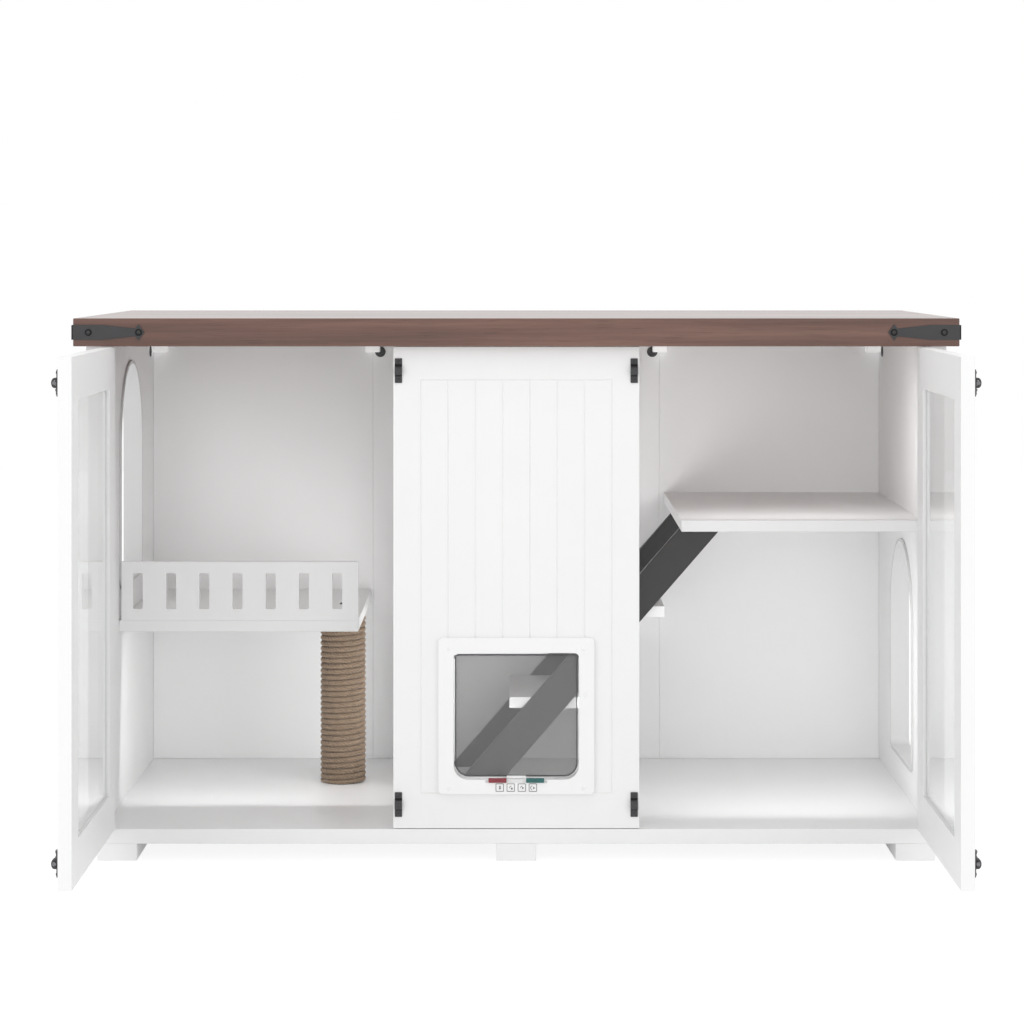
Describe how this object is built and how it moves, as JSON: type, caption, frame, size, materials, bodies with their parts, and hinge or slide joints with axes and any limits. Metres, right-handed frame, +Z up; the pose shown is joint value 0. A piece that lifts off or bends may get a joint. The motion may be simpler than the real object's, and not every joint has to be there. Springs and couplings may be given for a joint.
{
  "type": "cat litter box cabinet",
  "caption": "Low white sideboard that hides a litter box, with glazed doors, a pet flap in the middle, arched side openings, a railed ledge over a sisal post, a shelf and an inner stair",
  "frame": {"origin": "on the floor, under the middle of the carcass, at the underside of the centre runner", "axes": "+X to the right along the cabinet, +Y to the back wall, +Z up"},
  "size_m": [1.21, 0.9797, 0.738],
  "materials": {
    "white_board": "smooth white lacquered fibreboard",
    "walnut": "satin walnut grain laminate",
    "dark_board": "dark grey laminated board",
    "white_plastic": "moulded white plastic",
    "grey_trim": "light grey edge trim",
    "clear_acrylic": "clear polished sheet",
    "smoked_acrylic": "lightly smoked polished sheet",
    "red_plastic": "dull red moulded plastic",
    "teal_plastic": "dull teal moulded plastic",
    "black_iron": "black powder-coated steel, satin",
    "post_wood": "plain round wooden core",
    "sisal_rope": "twisted natural sisal rope"
  },
  "bodies": {
    "cabinet": {"base_board": "white_board", "runner_left": "white_board", "runner_centre": "white_board", "runner_right": "white_board", "side_panel_left": "white_board", "side_panel_right": "white_board", "arch_trim_left": "grey_trim", "arch_trim_right": "grey_trim", "divider_left": "white_board", "divider_right": "white_board", "back_board_left": "white_board", "back_board_centre": "white_board", "back_board_right": "white_board", "corner_block_left": "white_plastic", "corner_block_right": "white_plastic", "joint_block_left": "white_plastic", "joint_block_right": "white_plastic", "top_slab": "walnut", "corner_strap_left": "black_iron", "corner_strap_right": "black_iron", "front_panel": "white_board", "flap_outer_frame": "white_plastic", "flap_inner_frame": "white_plastic", "ledge_board": "white_board", "ledge_railing": "white_board", "post_core": "post_wood", "post_rope": "sisal_rope", "right_shelf": "white_board", "stringer_front": "dark_board", "stringer_back": "dark_board", "tread_lower": "white_board", "tread_upper": "white_board", "hinge_leaf_fixed_left_bottom": "black_iron", "hinge_leaf_fixed_left_top": "black_iron", "hinge_leaf_fixed_right_bottom": "black_iron", "hinge_leaf_fixed_right_top": "black_iron", "keeper_left_bottom": "black_iron", "keeper_left_top": "black_iron", "keeper_right_bottom": "black_iron", "keeper_right_top": "black_iron"},
    "door_left": {"door_frame_left": "white_board", "door_pane_left": "clear_acrylic", "hinge_leaf_door_left_bottom": "black_iron", "hinge_leaf_door_left_top": "black_iron", "bolt_housing_left_bottom": "black_iron", "bolt_housing_left_top": "black_iron"},
    "door_right": {"door_frame_right": "white_board", "door_pane_right": "clear_acrylic", "hinge_leaf_door_right_bottom": "black_iron", "hinge_leaf_door_right_top": "black_iron", "bolt_housing_right_bottom": "black_iron", "bolt_housing_right_top": "black_iron"},
    "bolt_left_bottom": {"bolt_rod_left_bottom": "black_iron"},
    "bolt_left_top": {"bolt_rod_left_top": "black_iron"},
    "bolt_right_bottom": {"bolt_rod_right_bottom": "black_iron"},
    "bolt_right_top": {"bolt_rod_right_top": "black_iron"},
    "flap": {"flap_pane": "smoked_acrylic", "flap_magnet_tab": "white_plastic"},
    "slider_left": {"lock_slider_left": "red_plastic"},
    "slider_right": {"lock_slider_right": "teal_plastic"}
  },
  "joints": [
    {"name": "door_left_hinge", "type": "hinge", "parent": "cabinet", "child": "door_left", "pos_m": [-0.5655, -0.2935, 0.3715], "axis": [0, 0, 1], "range_deg": [-20, 90]},
    {"name": "door_right_hinge", "type": "hinge", "parent": "cabinet", "child": "door_right", "pos_m": [0.5655, -0.2935, 0.3715], "axis": [0, 0, -1], "range_deg": [-20, 90]},
    {"name": "bolt_left_bottom_slide", "type": "slide", "parent": "door_left", "child": "bolt_left_bottom", "axis": [0, -1, 0], "range_m": [0, 0.014]},
    {"name": "bolt_left_top_slide", "type": "slide", "parent": "door_left", "child": "bolt_left_top", "axis": [0, -1, 0], "range_m": [0, 0.014]},
    {"name": "bolt_right_bottom_slide", "type": "slide", "parent": "door_right", "child": "bolt_right_bottom", "axis": [0, -1, 0], "range_m": [0, 0.014]},
    {"name": "bolt_right_top_slide", "type": "slide", "parent": "door_right", "child": "bolt_right_top", "axis": [0, -1, 0], "range_m": [0, 0.014]},
    {"name": "flap_hinge", "type": "hinge", "parent": "cabinet", "child": "flap", "pos_m": [0, -0.286, 0.2767], "axis": [1, 0, 0], "range_deg": [-80, 80]},
    {"name": "slider_left_slide", "type": "slide", "parent": "cabinet", "child": "slider_left", "axis": [1, 0, 0], "range_m": [-0.006, 0]},
    {"name": "slider_right_slide", "type": "slide", "parent": "cabinet", "child": "slider_right", "axis": [1, 0, 0], "range_m": [0, 0.006]}
  ]
}
